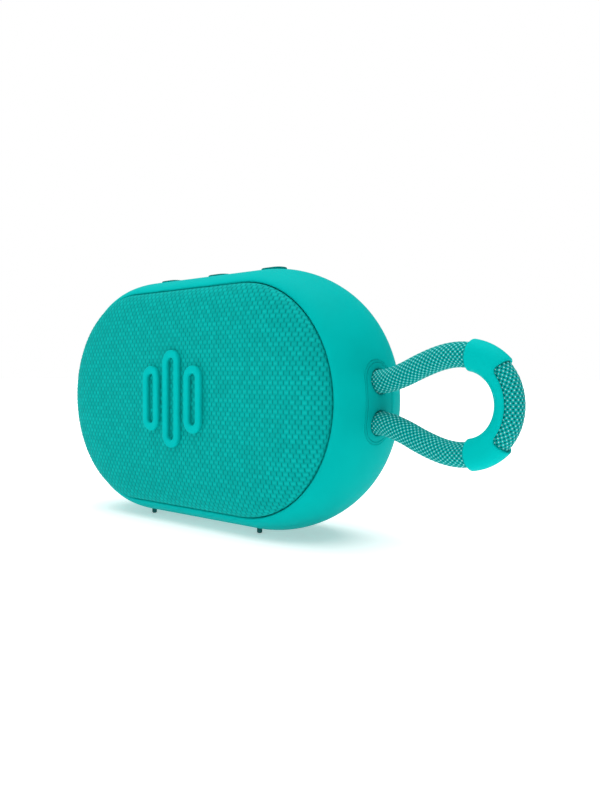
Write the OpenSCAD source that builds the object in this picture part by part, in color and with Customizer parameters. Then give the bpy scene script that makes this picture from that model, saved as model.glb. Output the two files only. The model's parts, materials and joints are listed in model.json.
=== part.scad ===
// Pocket bluetooth speaker with a stadium-shaped barrel body and a braided hand strap.
// Millimetres. +Z is up, the woven front faces -Y and the strap leaves the right end, +X.
// The origin is on the surface that the feet stand on, under the middle of the body.

/* [Body] */
// Width of the barrel body
body_w = 114.5; // [110:0.5:120]
// Height of the barrel body, also the diameter of its round ends
body_h = 69.5; // [69:0.5:71]
// From the widest plane of the body forward to the edge of the woven front
front_depth = 12.8; // [12.6:0.1:13.2]
// From the widest plane of the body back to the rear rim
rear_depth = 15.4; // [15.2:0.1:15.8]
// How far the front edge lies inside the widest outline
front_inset = 4.6; // [4.4:0.1:4.8]
// How far the rear rim lies inside the widest outline
rear_inset = 7.8; // [7.6:0.1:8]
// Wall thickness of the casing
wall = 2.2; // [2.1:0.1:2.3]

/* [Front] */
// How far the woven dome stands out of the front edge
dome_rise = 4.4; // [4:0.1:4.8]
// Height of the badge on the dome
emblem_h = 26.5; // [20:0.5:28]

/* [Keys] */
// Distance between neighbouring keys
key_pitch = 21.5; // [20:0.5:22]
// How far the keys stand above the casing
key_rise = 0.6; // [0.5:0.1:1]

/* [Strap] */
// Diameter of the braided rope
rope_d = 5.8; // [5.4:0.1:5.8]
// Half of the distance between the two rope holes
rope_half_gap = 5; // [4.9:0.1:5.1]
// Outer diameter of the rubber grip's tube
grip_d = 7.2; // [7:0.1:7.4]

/* [Feet] */
// Diameter of a foot stud
foot_d = 1.4; // [1.2:0.1:2.4]
// Gap between the casing's lowest line and the ground
ground_gap = 0.4; // [0.3:0.1:0.8]

/* [Hidden] */
$fn = 64;
eps = 0.01;

// Body outline: a stadium is a straight part with two half-round ends
body_r = body_h / 2;
end_x = (body_w - body_h) / 2;
mid_z = ground_gap + body_r;
front_power = 1.8;
rear_power = 2;
curve_steps = 9;

// Depth stations, counted from the widest plane
front_rim_r = body_r - front_inset;
rear_rim_r = body_r - rear_inset;
front_ledge_y = -7.9;
front_ledge_t = 1.5;
front_ledge_r = 27.6;
baffle_back_y = -8.3;
baffle_front_y = -10.4;
grille_base_y = -11.9;
rear_ledge_y = 12.9;
rear_ledge_t = 1.5;
rear_ledge_r = 25;
cover_seat_y = 13.4;
cover_y = rear_depth + 2;
cover_t = 2;
cover_flat_r = 21;

// Front grille
dome_edge_r = front_rim_r - 0.55;
dome_shoulder = 14;
fabric_t = 0.6;
plate_t = 1;
emblem_t = 1.2;
emblem_bar_w = 6.8;
emblem_stroke = 2.1;
emblem_pitch = 8.9;
grille_pitch = 4.6;

// Fasteners
screw_r = 0.95;
screw_hole_r = 1;
front_screw_r = 26.2;
front_screw_angle = 55;
front_screws = [
    for (sx = [-1, 1]) for (sz = [-1, 1])
        [sx * (end_x + front_screw_r * sin(front_screw_angle)), sz * front_screw_r * cos(front_screw_angle)],
    [-10, -front_screw_r],
    [10, -front_screw_r]
];
rear_screws_at = [for (sx = [-1, 1]) for (sz = [-1, 1]) [sx * end_x, sz * 24]];
board_screws_at = [[28, 16], [28, -16]];
driver_screws_at = [for (a = [45:90:315]) [22.1 * cos(a), 22.1 * sin(a)]];
key_posts_x = [-10.75, 10.75];

// Keys, measured from the middle height of the body
key_end_r = 2.2;
key_half_w = 1.8;
key_gap = 0.35;
key_top_z = body_r + key_rise;
key_flange_z = 30.5;
key_flange_t = 0.8;
stem_z = 29.3;
plunger_r = 1.2;
switch_top_z = 28.6;
key_board_z = 25.8;
key_board_t = 1;

// Driver
baffle_hole_r = 20.2;
pole_r = 5.9;
coil_r = 6.3;
coil_t = 0.5;

// Passive radiator
passive_hole_r = 16.9;
passive_plate_r = 12.5;
passive_y = 14.6;

// Charging port behind the flap
port_x = 36;
socket_y = 7.2;
socket_h = 4.4;
flap_hinge = [29.2, 16.5];
flap_end_x = 43.3;
flap_half_z = 4.4;
recess_y = 16.2;

// Battery
cell_x = -33.5;
cell_y = 1.5;
cell_r = 7;
cell_half = 24.5;

// Strap: the rope leaves the plate, flares out and runs round the ring of the grip
ring_x = 79.7;
ring_r = 11;
rope_r = rope_d / 2;
rope_pivot_x = 60.2;
rope_root_x = rope_pivot_x - rope_r;
rope_half_route = [
    [rope_root_x, 5],
    [rope_pivot_x, 5.5],
    [64.1, 6.8],
    [68.3, 8.6],
    [72.5, 10.1],
    [76.1, 10.9],
    [79.7, 11],
    [83.9, 10.2],
    [87.5, 7.8],
    [89.9, 4.2]
];
rope_route = concat(
    rope_half_route,
    [[90.7, 0]],
    [for (i = [len(rope_half_route) - 1:-1:0]) [rope_half_route[i][0], -rope_half_route[i][1]]]
);
rope_sides = 12;
rope_substeps = 3;
anchor_x = 46.3;
anchor_end_x = 52.8;
bezel_r = 5.35;
bezel_inner_r = 4.65;
plate_r = 4.5;
pill_half_z = 4.9;
grip_span = 82;
window_span = 43;
window_r = 10.6;

// ---------- Shared shapes ----------

// Superellipse quarter from the widest point [r, 0] to the rim [r - inset, depth]
function rim_curve(r, inset, depth, power) = [
    for (i = [0:curve_steps])
        let (t = 90 * i / curve_steps)
            [r - inset * (1 - pow(cos(t), 2 / power)), depth * pow(sin(t), 2 / power)]
];

function reversed(list) = [for (i = [len(list) - 1:-1:0]) list[i]];

// Half section of the barrel, from the front centre to the rear centre
function barrel_section(skin) = concat(
    [[0, -front_depth + skin]],
    reversed(rim_curve(body_r - skin, front_inset - skin, -front_depth + skin, front_power)),
    rim_curve(body_r - skin, rear_inset - skin, rear_depth - skin, rear_power),
    [[0, rear_depth - skin]]
);

// Half section of a shallow dome that starts at base_y and rises towards -Y
function dome_section(r, rise, base_y) = concat(
    [[0, -front_depth - rise]],
    [
        for (i = [0:curve_steps])
            let (t = 90 - 90 * i / curve_steps, v = 1 - pow(cos(t), 2 / 2.2))
                [r - dome_shoulder * v, -front_depth - rise * pow(sin(t), 2 / 2.2)]
    ],
    [[r, base_y], [0, base_y]]
);

// Stadium-shaped solid about the Y axis from a half section of [radius, y] points
module stadium_body(section) {
    count = len(section);
    outline = concat(
        [for (p = section) [p[1], p[0]]],
        [for (i = [count - 2:-1:1]) [section[i][1], -section[i][0]]]
    );
    translate([-end_x, 0, 0])
        rotate([90, 0, 90])
            linear_extrude(2 * end_x)
                polygon(outline);
    for (side = [0, 1])
        mirror([side, 0, 0])
            translate([end_x, 0, 0])
                rotate([-90, 0, 0])
                    rotate([0, 0, -90])
                        rotate_extrude(angle = 180)
                            polygon(section);
}

// Stadium prism of half height r between two depths
module slab(r, y0, y1) {
    translate([0, y1, 0])
        rotate([90, 0, 0])
            linear_extrude(y1 - y0)
                union() {
                    for (x = [-end_x, end_x])
                        translate([x, 0])
                            circle(r);
                    square([2 * end_x, 2 * r], center = true);
                }
}

module slab_ring(r_out, r_in, y0, y1) {
    difference() {
        slab(r_out, y0, y1);
        slab(r_in, y0 - 1, y1 + 1);
    }
}

// Solid of revolution about the driver's axis from [radius, y] points
module turned(section) {
    rotate([-90, 0, 0])
        rotate_extrude()
            polygon(section);
}

module tube_y(r_out, r_in, y0, y1) {
    turned([[r_in, y0], [r_out, y0], [r_out, y1], [r_in, y1]]);
}

// Straight rod along Y
module rod_y(x, z, r, y0, y1) {
    translate([x, y1, z])
        rotate([90, 0, 0])
            cylinder(r = r, h = y1 - y0);
}

module box(x0, x1, y0, y1, z0, z1) {
    translate([x0, y0, z0])
        cube([x1 - x0, y1 - y0, z1 - z0]);
}

// Pill-shaped prism along Z, long along X
module key_pill(x, r, z0, z1) {
    for (side = [-1, 1])
        translate([x + side * key_half_w, 0, z0])
            cylinder(r = r, h = z1 - z0);
    box(x - key_half_w, x + key_half_w, -r, r, z0, z1);
}

// Pill-shaped prism along X, long along Z
module end_pill(r, x0, x1) {
    for (side = [-1, 1])
        translate([x0, 0, side * pill_half_z])
            rotate([0, 90, 0])
                cylinder(r = r, h = x1 - x0);
    box(x0, x1, -r, r, -pill_half_z, pill_half_z);
}

// Two rods along X through the rope holes
module rope_rods(r, x0, x1) {
    for (side = [-1, 1])
        translate([x0, 0, side * rope_half_gap])
            rotate([0, 90, 0])
                cylinder(r = r, h = x1 - x0);
}

module screw_y(x, z, head_r, head_y, head_t, tip_y) {
    rod_y(x, z, head_r, min(head_y, head_y + head_t), max(head_y, head_y + head_t));
    rod_y(x, z, screw_r, min(head_y, tip_y), max(head_y, tip_y));
}

// Wire made of straight rods with round corners
module wire(points, r) {
    for (i = [0:len(points) - 2]) {
        run = points[i + 1] - points[i];
        length = norm(run);
        translate(points[i])
            rotate([0, acos(run[2] / length), atan2(run[1], run[0])])
                cylinder(r = r, h = length);
    }
    for (i = [1:len(points) - 2])
        translate(points[i])
            sphere(r = 1.2 * r);
}

// Places everything that is measured from the middle height of the body
module at_middle() {
    translate([0, 0, mid_z])
        children();
}

// ---------- Casing ----------

module body_sleeve() {
    color("turquoise")
        at_middle()
            difference() {
                union() {
                    difference() {
                        stadium_body(barrel_section(0));
                        stadium_body(barrel_section(wall));
                    }
                    slab_ring(body_r - 2.3, front_ledge_r, front_ledge_y, front_ledge_y + front_ledge_t);
                    slab_ring(30.6, rear_ledge_r, rear_ledge_y - rear_ledge_t, rear_ledge_y);
                    for (p = front_screws)
                        rod_y(p[0], p[1], 2.4, front_ledge_y, -2.4);
                    for (p = rear_screws_at)
                        rod_y(p[0], p[1], 2.5, 7, rear_ledge_y);
                    for (x = key_posts_x)
                        translate([x, 0.5, key_board_z + key_board_t])
                            cylinder(r = 1.6, h = 7);
                }
                slab(front_rim_r, -front_depth - 1, -front_depth + wall + eps);
                slab(rear_rim_r, rear_depth - wall - eps, rear_depth + 1);
                for (p = front_screws)
                    rod_y(p[0], p[1], screw_hole_r, front_ledge_y - 1, -3);
                for (p = rear_screws_at)
                    rod_y(p[0], p[1], screw_hole_r, 7.6, rear_ledge_y + 1);
                for (x = key_posts_x)
                    translate([x, 0.5, key_board_z])
                        cylinder(r = screw_hole_r, h = 4.2);
                for (i = [-1:1])
                    key_pill(i * key_pitch, key_end_r + key_gap, key_flange_z, key_top_z + 1);
                end_pill(bezel_r + 0.15, anchor_end_x, body_w / 2 + 1);
                for (x = [-end_x, end_x]) for (y = [-6.3, 6.3])
                    translate([x, y, -body_r - 1])
                        cylinder(r = foot_d / 2, h = 2.6);
            }
}

module rear_cover() {
    section = concat(
        [[0, cover_seat_y], [rear_rim_r - 0.25, cover_seat_y]],
        [
            for (i = [0:5])
                let (t = 90 * i / 5)
                    [
                        cover_flat_r + (rear_rim_r - 0.25 - cover_flat_r) * cos(t),
                        rear_depth + cover_t * sin(t)
                    ]
        ],
        [[0, cover_y]]
    );
    color("turquoise")
        at_middle()
            difference() {
                union() {
                    difference() {
                        stadium_body(section);
                        slab(cover_flat_r, cover_seat_y - 1, cover_y - cover_t);
                    }
                    box(port_x - 5.6, port_x + 5.6, 11.7, cover_y - 1, -4, 4);
                    for (p = board_screws_at)
                        rod_y(p[0], p[1], 2, 7.2, cover_y - 1);
                }
                rod_y(0, 0, passive_hole_r, 0, 30);
                box(port_x - 4.7, port_x + 4.7, 10, 30, -3, 3);
                box(27.8, flap_end_x + 0.3, recess_y, 30, -flap_half_z - 0.3, flap_half_z + 0.3);
                translate([flap_hinge[0], flap_hinge[1], -flap_half_z - 0.3])
                    cylinder(r = 0.9, h = 2 * flap_half_z + 0.6);
                rod_y(port_x, 9, 0.95, 0, 30);
                rod_y(port_x, -9, 0.5, 0, 30);
                for (p = board_screws_at)
                    rod_y(p[0], p[1], screw_hole_r, 5, 13);
                for (p = rear_screws_at) {
                    rod_y(p[0], p[1], 1.15, 10, 30);
                    rod_y(p[0], p[1], 2, 14.9, 30);
                }
            }
}

module rear_gasket() {
    color("dimgray")
        at_middle()
            difference() {
                slab_ring(rear_rim_r - 0.25, rear_ledge_r + 0.3, rear_ledge_y, cover_seat_y);
                for (p = rear_screws_at)
                    rod_y(p[0], p[1], 1.6, 10, 20);
            }
}

module rear_screws() {
    color("gray")
        at_middle()
            for (p = rear_screws_at)
                screw_y(p[0], p[1], 1.8, 14.9, 1.2, 8);
}

module feet() {
    color("darkslategray")
        for (x = [-end_x, end_x]) for (y = [-6.3, 6.3])
            translate([x, y, 0])
                union() {
                    cylinder(r1 = foot_d / 2 - 0.25, r2 = foot_d / 2, h = 0.25);
                    translate([0, 0, 0.25])
                        cylinder(r = foot_d / 2, h = ground_gap + 1.35);
                }
}

// ---------- Woven front ----------

module grille_fabric() {
    color("lightseagreen")
        at_middle()
            difference() {
                stadium_body(dome_section(dome_edge_r, dome_rise, grille_base_y));
                stadium_body(dome_section(dome_edge_r - fabric_t, dome_rise - fabric_t, grille_base_y + 1));
            }
}

module grille_plate() {
    outer_r = dome_edge_r - fabric_t - 0.05;
    outer_rise = dome_rise - fabric_t - 0.05;
    color("slategray")
        at_middle()
            difference() {
                stadium_body(dome_section(outer_r, outer_rise, grille_base_y));
                stadium_body(dome_section(outer_r - plate_t, outer_rise - plate_t, grille_base_y + 1));
                for (row = [-3:3]) for (col = [-4:4])
                    if (abs(col + (row % 2) / 2) <= 4)
                        rod_y((col + abs(row % 2) / 2) * grille_pitch, row * grille_pitch * 0.9, 1.5, -20, -12);
            }
}

module grille_frame() {
    color("slategray")
        at_middle()
            slab_ring(front_rim_r - 0.45, 27.9, grille_base_y, baffle_front_y);
}

// Outlined upright bar with round ends
module emblem_bar(x, height) {
    straight = height / 2 - emblem_bar_w / 2;
    translate([x, -front_depth - dome_rise, 0])
        rotate([90, 0, 0])
            linear_extrude(emblem_t)
                difference() {
                    union() {
                        for (side = [-1, 1])
                            translate([0, side * straight])
                                circle(emblem_bar_w / 2);
                        square([emblem_bar_w, 2 * straight], center = true);
                    }
                    for (side = [-1, 1])
                        translate([0, side * straight])
                            circle(emblem_bar_w / 2 - emblem_stroke);
                    square([emblem_bar_w - 2 * emblem_stroke, 2 * straight], center = true);
                }
}

module front_emblem() {
    color("mediumturquoise")
        at_middle()
            for (i = [-1:1])
                emblem_bar(i * emblem_pitch, emblem_h - abs(i) * 8.5);
}

module front_baffle() {
    color("darkslategray")
        at_middle()
            difference() {
                slab(front_rim_r - 0.25, baffle_front_y, baffle_back_y);
                rod_y(0, 0, baffle_hole_r, -20, 0);
                for (p = front_screws)
                    rod_y(p[0], p[1], 1.15, -20, 0);
                for (p = driver_screws_at)
                    rod_y(p[0], p[1], 0.8, -9.8, 0);
            }
}

module baffle_gasket() {
    color("dimgray")
        at_middle()
            difference() {
                slab_ring(front_rim_r - 0.45, front_ledge_r + 0.4, baffle_back_y, front_ledge_y);
                for (p = front_screws)
                    rod_y(p[0], p[1], 2.4, -20, 0);
            }
}

module baffle_screws() {
    color("gray")
        at_middle()
            for (p = front_screws)
                screw_y(p[0], p[1], 1.5, baffle_front_y, -1.1, -3.4);
}

// ---------- Driver ----------

module driver_basket() {
    color("silver")
        at_middle()
            difference() {
                turned([
                    [19.6, baffle_back_y], [23.4, baffle_back_y], [23.4, -7.1], [20.8, -7.1],
                    [14.2, -0.4], [14.2, 0], [9, 0], [9, -1], [13, -1], [19.6, -7.5]
                ]);
                for (a = [0:90:270])
                    rotate([0, a, 0])
                        translate([10.5, -3.9, 0])
                            rotate([0, 90, 0])
                                cylinder(r = 2, h = 12);
                for (p = driver_screws_at)
                    rod_y(p[0], p[1], 0.8, -20, 0);
            }
}

module driver_top_plate() {
    color("gray")
        at_middle()
            tube_y(13.5, coil_r + coil_t + 0.4, 0, 1.6);
}

module driver_magnet() {
    color("dimgray")
        at_middle()
            tube_y(14, 8.2, 1.6, 6.1);
}

module driver_yoke() {
    color("gray")
        at_middle()
            union() {
                rod_y(0, 0, 13, 6.1, 7.8);
                rod_y(0, 0, pole_r, 0, 6.1);
            }
}

module voice_coil() {
    color("peru")
        at_middle()
            tube_y(coil_r + coil_t, coil_r, -4, 3);
}

module driver_cone() {
    color("black")
        at_middle()
            turned([[6.85, -3.4], [16.8, -8.4], [16.8, -8.9], [6.85, -4]]);
}

module dust_cap() {
    cap_r = 9.68;
    cap_y = 2.9;
    color("black")
        at_middle()
            turned(concat(
                [for (i = [0:6]) [cap_r * sin(7 * i), cap_y - cap_r * cos(7 * i)]],
                [for (i = [6:-1:0]) [(cap_r - 0.4) * sin(7 * i), cap_y - (cap_r - 0.4) * cos(7 * i)]]
            ));
}

module driver_surround() {
    roll_r = 1.25;
    roll_t = 0.4;
    mid_r = 18.1;
    color("black")
        at_middle()
            rotate([-90, 0, 0])
                rotate_extrude()
                    union() {
                        difference() {
                            translate([mid_r, -8.7])
                                circle(roll_r);
                            translate([mid_r, -8.7])
                                circle(roll_r - roll_t);
                            translate([mid_r - 2, -8.7])
                                square([4, 3]);
                        }
                        translate([mid_r + roll_r - roll_t, -8.7])
                            square([20.1 - mid_r - roll_r + roll_t, 0.4]);
                    }
}

module driver_spider() {
    root_r = 6.95;
    pleat = 0.98;
    pleats = 7;
    color("goldenrod")
        at_middle()
            turned(concat(
                [for (i = [0:pleats]) [root_r + pleat * i, -2.6 + (i % 2) * 0.5]],
                [for (i = [pleats:-1:0]) [root_r + pleat * i, -3 + (i % 2) * 0.5]]
            ));
}

module driver_screws() {
    color("gray")
        at_middle()
            for (p = driver_screws_at) {
                rod_y(p[0], p[1], 1.2, -7.1, -6.2);
                rod_y(p[0], p[1], 0.75, -9.6, -7.1);
            }
}

// ---------- Passive radiator ----------

module passive_surround() {
    roll_r = 1.6;
    roll_t = 0.45;
    mid_r = 14.2;
    color("black")
        at_middle()
            rotate([-90, 0, 0])
                rotate_extrude()
                    union() {
                        difference() {
                            translate([mid_r, 15.6])
                                circle(roll_r);
                            translate([mid_r, 15.6])
                                circle(roll_r - roll_t);
                            translate([mid_r - 2, 15.6])
                                square([4, 3]);
                        }
                        translate([mid_r + roll_r - roll_t, 15.6])
                            square([passive_hole_r - 0.05 - mid_r - roll_r + roll_t, 0.6]);
                    }
}

module passive_plate() {
    color("dimgray")
        at_middle()
            turned([
                [0, passive_y], [passive_plate_r, passive_y], [passive_plate_r, 15.8],
                [11.9, 16.1], [7.2, 16.1], [6.9, 15.8], [0, 15.8]
            ]);
}

// ---------- Battery ----------

module battery_cell() {
    color("royalblue")
        at_middle()
            translate([cell_x, cell_y, 0])
                union() {
                    translate([0, 0, -cell_half])
                        cylinder(r = cell_r, h = 2 * cell_half);
                    translate([0, 0, cell_half])
                        cylinder(r = 2.5, h = 0.8);
                }
}

module battery_cradle() {
    color("darkslategray")
        at_middle()
            difference() {
                box(-41, -26, 2.2, 9.6, -20, 20);
                translate([cell_x, cell_y, -30])
                    cylinder(r = cell_r + 0.1, h = 60);
                box(-42, -30.5, 2, 8, -12, 12);
                box(-31, -25, 2, 8, -12, 12);
            }
}

module battery_pads() {
    color("dimgray")
        at_middle()
            translate([cell_x, cell_y, 0]) {
                translate([0, 0, -cell_half - 1.6])
                    cylinder(r = 6, h = 1.6);
                difference() {
                    translate([0, 0, cell_half])
                        cylinder(r = 6, h = 1.6);
                    translate([0, 0, cell_half - 1])
                        cylinder(r = 2.6, h = 4);
                }
            }
}

// ---------- Electronics ----------

module main_board() {
    color("darkgreen")
        at_middle()
            difference() {
                box(25, 45, 6, socket_y, -18.5, 18.5);
                for (p = board_screws_at)
                    rod_y(p[0], p[1], 1.15, 0, 20);
            }
}

module radio_module() {
    color("silver")
        at_middle()
            box(31, 43, 4.4, 6, 3, 15);
}

module amplifier_chip() {
    color("black")
        at_middle()
            box(33, 38, 5.1, 6, -13, -8);
}

// Flat rounded opening of a charging socket, as a prism along Y
module socket_pill(half_w, r, y0, y1) {
    for (side = [-1, 1])
        rod_y(port_x + side * (half_w - r), 0, r, y0, y1);
    box(port_x - half_w + r, port_x + half_w - r, y0, y1, -r, r);
}

module usb_socket() {
    color("silver")
        at_middle()
            union() {
                difference() {
                    socket_pill(4.5, 1.6, socket_y, socket_y + socket_h);
                    socket_pill(4.2, 1.3, socket_y + 0.6, socket_y + socket_h + 1);
                }
                box(port_x - 3.3, port_x + 3.3, socket_y, socket_y + socket_h - 0.8, -0.35, 0.35);
            }
}

module microphone() {
    color("gold")
        at_middle()
            box(port_x - 1.8, port_x + 1.8, socket_y, socket_y + 1.1, -10.3, -7.7);
}

module light_pipe() {
    color("white")
        at_middle()
            rod_y(port_x, 9, 0.9, 8.2, cover_y);
}

module board_screws() {
    color("gray")
        at_middle()
            for (p = board_screws_at)
                screw_y(p[0], p[1], 1.7, 6, -1, 12);
}

module key_board() {
    color("darkgreen")
        at_middle()
            difference() {
                box(-26.5, 26.5, -4, 5, key_board_z, key_board_z + key_board_t);
                for (x = key_posts_x)
                    translate([x, 0.5, key_board_z - 1])
                        cylinder(r = 1.15, h = 3);
            }
}

module key_screws() {
    color("gray")
        at_middle()
            for (x = key_posts_x)
                translate([x, 0.5, 0]) {
                    translate([0, 0, key_board_z - 0.9])
                        cylinder(r = 1.7, h = 0.9);
                    translate([0, 0, key_board_z])
                        cylinder(r = screw_r, h = 3.8);
                }
}

module tact_switches() {
    color("silver")
        at_middle()
            for (i = [-1:1])
                difference() {
                    box(
                        i * key_pitch - 2.3, i * key_pitch + 2.3, -2.3, 2.3,
                        key_board_z + key_board_t, switch_top_z
                    );
                    translate([i * key_pitch, 0, 27.3])
                        cylinder(r = plunger_r + 0.1, h = 3);
                }
}

module plunger(i) {
    color("black")
        at_middle()
            translate([i * key_pitch, 0, 27.9])
                cylinder(r = plunger_r, h = stem_z - 27.9);
}

// ---------- Keys ----------

// Key cap with its retaining flange and the stem that reaches down to the plunger
module key_cap(i) {
    x = i * key_pitch;
    union() {
        key_pill(x, key_end_r, key_flange_z, key_top_z);
        key_pill(x, key_end_r + 0.9, key_flange_z, key_flange_z + key_flange_t);
        translate([x, 0, stem_z])
            cylinder(r = 1.4, h = key_flange_z - stem_z);
    }
}

module button_minus() {
    color("lightseagreen")
        at_middle()
            difference() {
                key_cap(-1);
                box(-key_pitch - 1.3, -key_pitch + 1.3, -0.3, 0.3, key_top_z - 0.3, key_top_z + 1);
            }
}

module button_play() {
    color("lightseagreen")
        at_middle()
            difference() {
                key_cap(0);
                translate([0, 0, key_top_z - 0.3])
                    linear_extrude(1)
                        polygon([[-1, -1.3], [1.3, 0], [-1, 1.3]]);
            }
}

module button_plus() {
    color("lightseagreen")
        at_middle()
            difference() {
                key_cap(1);
                box(key_pitch - 1.3, key_pitch + 1.3, -0.3, 0.3, key_top_z - 0.3, key_top_z + 1);
                box(key_pitch - 0.3, key_pitch + 0.3, -1.3, 1.3, key_top_z - 0.3, key_top_z + 1);
            }
}

module port_flap() {
    color("lightseagreen")
        at_middle()
            union() {
                box(flap_hinge[0], flap_end_x, recess_y + 0.1, 17.3, -flap_half_z, flap_half_z);
                translate([flap_hinge[0], flap_hinge[1], -flap_half_z])
                    cylinder(r = 0.8, h = 2 * flap_half_z);
            }
}

// ---------- Strap ----------

module strap_bezel() {
    color("lightseagreen")
        at_middle()
            intersection() {
                difference() {
                    end_pill(bezel_r, anchor_end_x, body_w / 2 + 1);
                    end_pill(bezel_inner_r, anchor_end_x - 1, body_w / 2 + 2);
                }
                stadium_body(barrel_section(0));
            }
}

module strap_plate() {
    color("lightseagreen")
        at_middle()
            intersection() {
                translate([anchor_end_x, 0, 0])
                    rotate([90, 0, 90])
                        linear_extrude(body_w / 2 + 1 - anchor_end_x)
                            difference() {
                                union() {
                                    for (side = [-1, 1])
                                        translate([0, side * pill_half_z])
                                            circle(plate_r);
                                    square([2 * plate_r, 2 * pill_half_z], center = true);
                                }
                                for (side = [-1, 1])
                                    translate([0, side * rope_half_gap])
                                        circle(rope_r + 0.15);
                            }
                stadium_body(barrel_section(0));
            }
}

module strap_anchor() {
    color("dimgray")
        at_middle()
            difference() {
                box(anchor_x, anchor_end_x, -4.6, 4.6, -9.4, 9.4);
                rope_rods(rope_r + 0.1, anchor_x + 1, anchor_end_x + 1);
            }
}

module strap_ends() {
    color("cadetblue")
        at_middle()
            rope_rods(rope_r, anchor_x + 1, 56.8);
}

// Point at parameter u of the smooth curve through the route, in segment i
function route_point(points, i, u) =
    let (
        last = len(points) - 1,
        p0 = points[max(i - 1, 0)],
        p1 = points[i],
        p2 = points[min(i + 1, last)],
        p3 = points[min(i + 2, last)]
    )
    0.5 * (2 * p1 + (p2 - p0) * u + (2 * p0 - 5 * p1 + 4 * p2 - p3) * u * u
        + (3 * p1 - p0 - 3 * p2 + p3) * u * u * u);

// Radius of the rope at distance s from its rounded end
function end_radius(s) = s >= rope_r ? rope_r : sqrt(max(0.04, rope_r * rope_r - pow(rope_r - s, 2)));

module strap_cord() {
    segments = len(rope_route) - 1;
    centres = concat(
        [
            for (i = [0:segments - 1]) for (k = [0:rope_substeps - 1])
                route_point(rope_route, i, k / rope_substeps)
        ],
        [rope_route[segments]]
    );
    rings = len(centres);
    first = centres[0];
    last = centres[rings - 1];
    vertices = [
        for (i = [0:rings - 1])
            let (
                ahead = centres[min(i + 1, rings - 1)],
                behind = centres[max(i - 1, 0)],
                along = (ahead - behind) / norm(ahead - behind),
                r = min(end_radius(norm(centres[i] - first)), end_radius(norm(centres[i] - last)))
            )
            for (k = [0:rope_sides - 1])
                let (a = 360 * k / rope_sides)
                    [
                        centres[i][0] - along[1] * r * cos(a),
                        r * sin(a),
                        centres[i][1] + along[0] * r * cos(a)
                    ]
    ];
    sides = [
        for (i = [0:rings - 2]) for (k = [0:rope_sides - 1])
            let (next = (k + 1) % rope_sides)
                [
                    i * rope_sides + k,
                    i * rope_sides + next,
                    (i + 1) * rope_sides + next,
                    (i + 1) * rope_sides + k
                ]
    ];
    start_cap = [for (k = [rope_sides - 1:-1:0]) k];
    end_cap = [for (k = [0:rope_sides - 1]) (rings - 1) * rope_sides + k];
    color("cadetblue")
        at_middle()
            polyhedron(points = vertices, faces = concat([start_cap], sides, [end_cap]));
}

// Sector of the window in the grip, as a prism along Y with rounded inner corners
module grip_window() {
    corner = 1.4;
    corner_a = window_span - asin(corner / (window_r + corner));
    translate([0, 10, 0])
        rotate([90, 0, 0])
            linear_extrude(20)
                union() {
                    intersection() {
                        difference() {
                            circle(20);
                            circle(window_r + corner);
                        }
                        polygon([
                            [0, 0], [40 * cos(window_span), -40 * sin(window_span)], [60, 0],
                            [40 * cos(window_span), 40 * sin(window_span)]
                        ]);
                    }
                    intersection() {
                        difference() {
                            circle(window_r + corner + eps);
                            circle(window_r);
                        }
                        polygon([
                            [0, 0], [40 * cos(corner_a), -40 * sin(corner_a)], [60, 0],
                            [40 * cos(corner_a), 40 * sin(corner_a)]
                        ]);
                    }
                    for (side = [-1, 1])
                        rotate(side * corner_a)
                            translate([window_r + corner, 0])
                                circle(corner);
                }
}

module strap_grip() {
    color("turquoise")
        at_middle()
            translate([ring_x, 0, 0])
                difference() {
                    rotate([90, 0, 0])
                        rotate([0, 0, -grip_span])
                            rotate_extrude(angle = 2 * grip_span)
                                translate([ring_r, 0])
                                    circle(grip_d / 2);
                    rotate([90, 0, 0])
                        rotate_extrude()
                            translate([ring_r, 0])
                                circle(rope_r + 0.12);
                    grip_window();
                }
}

// ---------- Wires and padding ----------

module speaker_wires() {
    color("firebrick")
        at_middle()
            for (y = [0, 1.6])
                wire([[27, 5.3 - y, 0], [22, 5.3 - y, 4], [18.5, 1.5 - y, 9], [14, -2 - y, 11.5]], 0.6);
}

module battery_wires() {
    color("black")
        at_middle()
            for (y = [0, 1.6])
                wire([
                    [cell_x, 2.4 - y, -27], [29, 2.4 - y, -27],
                    [29, 2.4 - y, -19], [31, 5.3 - y, -12]
                ], 0.6);
}

module damping_foam() {
    color("gray")
        at_middle()
            box(-17, 17, -1.8, 5.5, -31.3, -28);
}

body_sleeve();
front_baffle();
baffle_gasket();
baffle_screws();
grille_frame();
grille_plate();
grille_fabric();
front_emblem();
driver_basket();
driver_top_plate();
driver_magnet();
driver_yoke();
voice_coil();
driver_cone();
dust_cap();
driver_surround();
driver_spider();
driver_screws();
rear_cover();
rear_gasket();
rear_screws();
passive_surround();
passive_plate();
battery_cell();
battery_cradle();
battery_pads();
main_board();
radio_module();
amplifier_chip();
usb_socket();
microphone();
light_pipe();
board_screws();
key_board();
key_screws();
tact_switches();
plunger(-1);  // plunger_minus
plunger(0);  // plunger_play
plunger(1);  // plunger_plus
button_minus();
button_play();
button_plus();
port_flap();
feet();
strap_bezel();
strap_plate();
strap_anchor();
strap_ends();
strap_cord();
strap_grip();
speaker_wires();
battery_wires();
damping_foam();
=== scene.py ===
import json
import math

import bmesh
import bpy
import numpy as np
from mathutils import Matrix, Vector


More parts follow.
